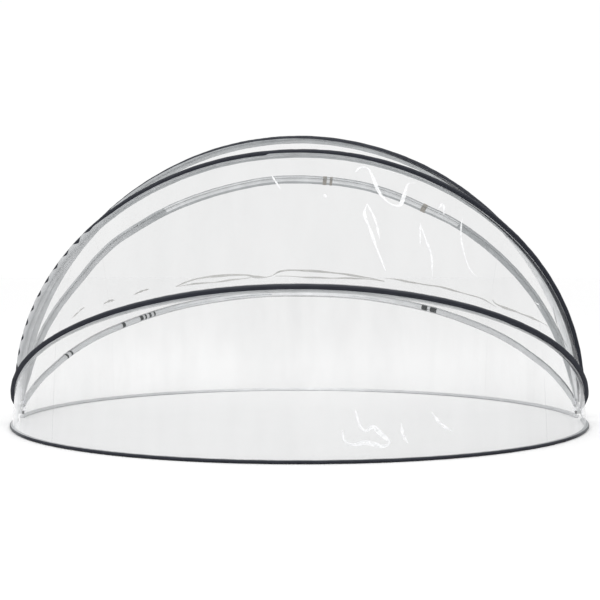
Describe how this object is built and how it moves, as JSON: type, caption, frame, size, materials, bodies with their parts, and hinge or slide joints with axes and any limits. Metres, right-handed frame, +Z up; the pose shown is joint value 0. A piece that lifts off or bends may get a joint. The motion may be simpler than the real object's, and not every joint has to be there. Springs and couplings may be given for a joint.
{
  "type": "clear clamshell dome cover",
  "caption": "Large clear film dome on pivoting hoops that fold back about two side hinges, with a ground ring whose front half lifts.",
  "frame": {"origin": "on the ground under the middle of the dome", "axes": "+Z up; X along the hinge axis; -Y is the front, which lifts open"},
  "size_m": [4.0336, 4.038, 2.0557],
  "materials": {
    "sleeve_fabric": "anthracite woven polyester sleeve",
    "clear_film": "clear flexible film",
    "galvanised_tube": "galvanised steel tube",
    "zinc_fittings": "bright zinc plated steel",
    "black_plastic": "moulded black plastic"
  },
  "bodies": {
    "root": {"rear_ring_tube_right": "galvanised_tube", "rear_ring_tube_crown": "galvanised_tube", "rear_ring_tube_left": "galvanised_tube", "rear_ring_sleeve": "sleeve_fabric", "rear_ring_hinge_right": "zinc_fittings", "rear_ring_hinge_left": "zinc_fittings", "film_rear_lower": "clear_film", "pivot_bolt_right": "zinc_fittings", "pivot_bolt_left": "zinc_fittings", "pivot_washer_outer_right": "zinc_fittings", "pivot_washer_outer_left": "zinc_fittings", "pivot_washer_inner_right": "zinc_fittings", "pivot_washer_inner_left": "zinc_fittings", "pivot_nut_right": "zinc_fittings", "pivot_nut_left": "zinc_fittings", "pivot_cap_right": "black_plastic", "pivot_cap_left": "black_plastic"},
    "front_rail": {"front_rail_tube_right": "galvanised_tube", "front_rail_tube_crown": "galvanised_tube", "front_rail_tube_left": "galvanised_tube", "front_rail_sleeve": "sleeve_fabric", "front_rail_hinge_right": "zinc_fittings", "front_rail_hinge_left": "zinc_fittings", "film_front_lower": "clear_film"},
    "hoop_1": {"hoop_1_tube_right": "galvanised_tube", "hoop_1_tube_crown": "galvanised_tube", "hoop_1_tube_left": "galvanised_tube", "hoop_1_sleeve": "sleeve_fabric", "hoop_1_hinge_right": "zinc_fittings", "hoop_1_hinge_left": "zinc_fittings", "film_front_upper": "clear_film"},
    "hoop_2": {"hoop_2_tube_right": "galvanised_tube", "hoop_2_tube_crown": "galvanised_tube", "hoop_2_tube_left": "galvanised_tube", "hoop_2_sleeve": "sleeve_fabric", "hoop_2_hinge_right": "zinc_fittings", "hoop_2_hinge_left": "zinc_fittings", "film_top_front": "clear_film"},
    "hoop_3": {"hoop_3_tube_right": "galvanised_tube", "hoop_3_tube_crown": "galvanised_tube", "hoop_3_tube_left": "galvanised_tube", "hoop_3_sleeve": "sleeve_fabric", "hoop_3_hinge_right": "zinc_fittings", "hoop_3_hinge_left": "zinc_fittings"},
    "hoop_4": {"hoop_4_tube_right": "galvanised_tube", "hoop_4_tube_crown": "galvanised_tube", "hoop_4_tube_left": "galvanised_tube", "hoop_4_sleeve": "sleeve_fabric", "hoop_4_hinge_right": "zinc_fittings", "hoop_4_hinge_left": "zinc_fittings", "film_top_rear": "clear_film"},
    "hoop_5": {"hoop_5_tube_right": "galvanised_tube", "hoop_5_tube_crown": "galvanised_tube", "hoop_5_tube_left": "galvanised_tube", "hoop_5_sleeve": "sleeve_fabric", "hoop_5_hinge_right": "zinc_fittings", "hoop_5_hinge_left": "zinc_fittings", "film_rear_upper": "clear_film"}
  },
  "joints": [
    {"name": "hoop_5_hinge", "type": "hinge", "parent": "root", "child": "hoop_5", "pos_m": [0, 0, 0.05], "axis": [-1, 0, 0], "range_deg": [0, 11.7], "deforming": ["film_rear_lower"]},
    {"name": "hoop_4_hinge", "type": "hinge", "parent": "hoop_5", "child": "hoop_4", "pos_m": [0, 0, 0.05], "axis": [-1, 0, 0], "range_deg": [0, 24.6], "deforming": ["film_rear_upper"]},
    {"name": "hoop_3_hinge", "type": "hinge", "parent": "hoop_4", "child": "hoop_3", "pos_m": [0, 0, 0.05], "axis": [-1, 0, 0], "range_deg": [0, 8.2], "deforming": ["film_top_rear"]},
    {"name": "hoop_2_hinge", "type": "hinge", "parent": "hoop_3", "child": "hoop_2", "pos_m": [0, 0, 0.05], "axis": [-1, 0, 0], "range_deg": [0, 21.1], "deforming": ["film_top_front"]},
    {"name": "hoop_1_hinge", "type": "hinge", "parent": "hoop_2", "child": "hoop_1", "pos_m": [0, 0, 0.05], "axis": [-1, 0, 0], "range_deg": [0, 26.4], "deforming": ["film_front_upper"]},
    {"name": "front_rail_hinge", "type": "hinge", "parent": "hoop_1", "child": "front_rail", "pos_m": [0, 0, 0.05], "axis": [-1, 0, 0], "range_deg": [0, 16], "deforming": ["film_front_lower"]}
  ]
}
